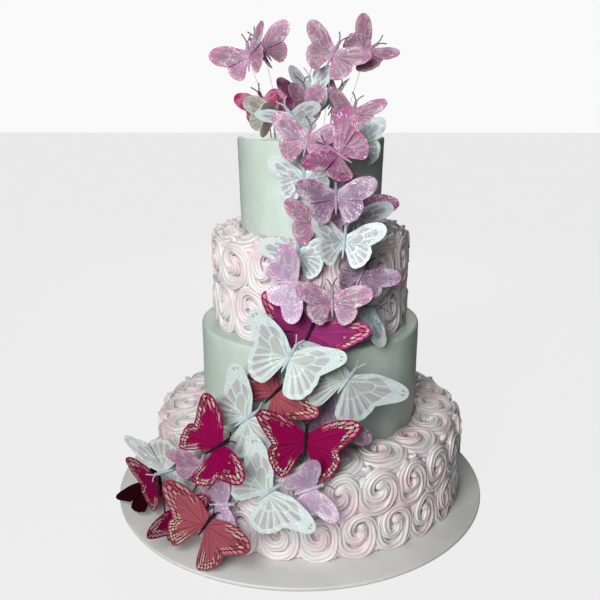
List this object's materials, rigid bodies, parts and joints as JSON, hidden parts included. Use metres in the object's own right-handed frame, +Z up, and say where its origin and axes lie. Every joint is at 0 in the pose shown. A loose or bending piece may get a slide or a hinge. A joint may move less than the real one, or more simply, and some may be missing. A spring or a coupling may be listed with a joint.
{
  "type": "tiered wedding cake",
  "caption": "Tall celebration cake with smooth mint tiers and piped rosette tiers on a round board, crossed by a cascade of craft butterflies.",
  "frame": {"origin": "centre of the board's underside, on the table", "axes": "+Z up the tiers, -Y towards the viewer, where the butterflies run down the front, +X to the viewer's right"},
  "size_m": [0.43, 0.43, 0.5292],
  "materials": {
    "board": "white coated card, slightly marked",
    "smooth_icing": "pale mint buttercream, smoothed, faint tool marks",
    "piped_icing": "white buttercream with pale pink in the creases, piped with a star tip",
    "wire": "thin bright wire",
    "wings_pink": "sheer pink wings with pale cells, a printed darker border and fine glitter",
    "wings_magenta": "magenta feather wings, dark border, gold lines and rows of pale dashes",
    "wings_purple": "purple wings with a dark red border, gold lines and pale dashes",
    "wings_ivory": "ivory sheer wings with pale veins",
    "wings_white": "white glittered wings with translucent grey cells",
    "wings_silver": "grey-green sheer wings with pale veins",
    "wings_hot": "deep pink wings with pale cells and fine glitter",
    "wings_mauve": "sheer mauve wings with grey cells and fine glitter",
    "wings_lilac": "sheer lilac wings with grey cells and fine glitter",
    "wings_coral": "coral feather wings, dark red border, gold lines and pale dashes"
  },
  "bodies": {
    "root": {"cake_board": "board", "tier_1_rosettes": "piped_icing", "tier_2_smooth": "smooth_icing", "tier_3_rosettes": "piped_icing", "tier_4_smooth": "smooth_icing", "flying_1": "wings_pink", "flying_2": "wings_pink", "flying_3": "wings_pink", "flying_4": "wings_pink", "crown_1": "wings_magenta", "crown_2": "wings_purple", "crown_3": "wings_ivory", "crown_4": "wings_white", "crown_5": "wings_pink", "crown_6": "wings_pink", "crown_7": "wings_silver", "crown_8": "wings_white", "upper_1": "wings_pink", "upper_2": "wings_hot", "upper_3": "wings_silver", "upper_4": "wings_white", "upper_5": "wings_mauve", "upper_6": "wings_hot", "upper_7": "wings_pink", "middle_1": "wings_white", "middle_2": "wings_white", "middle_3": "wings_white", "middle_4": "wings_lilac", "middle_5": "wings_pink", "middle_6": "wings_mauve", "middle_7": "wings_silver", "middle_8": "wings_purple", "lower_1": "wings_white", "lower_2": "wings_white", "lower_3": "wings_coral", "lower_4": "wings_white", "lower_5": "wings_magenta", "lower_6": "wings_magenta", "lower_7": "wings_white", "lower_8": "wings_lilac", "lower_9": "wings_pink", "lower_10": "wings_lilac", "lower_11": "wings_white", "lower_12": "wings_magenta", "lower_13": "wings_coral", "lower_14": "wings_magenta", "lower_15": "wings_mauve", "lower_16": "wings_magenta", "wire_flying_1": "wire", "wire_flying_2": "wire", "wire_flying_3": "wire", "wire_flying_4": "wire"}
  },
  "joints": []
}
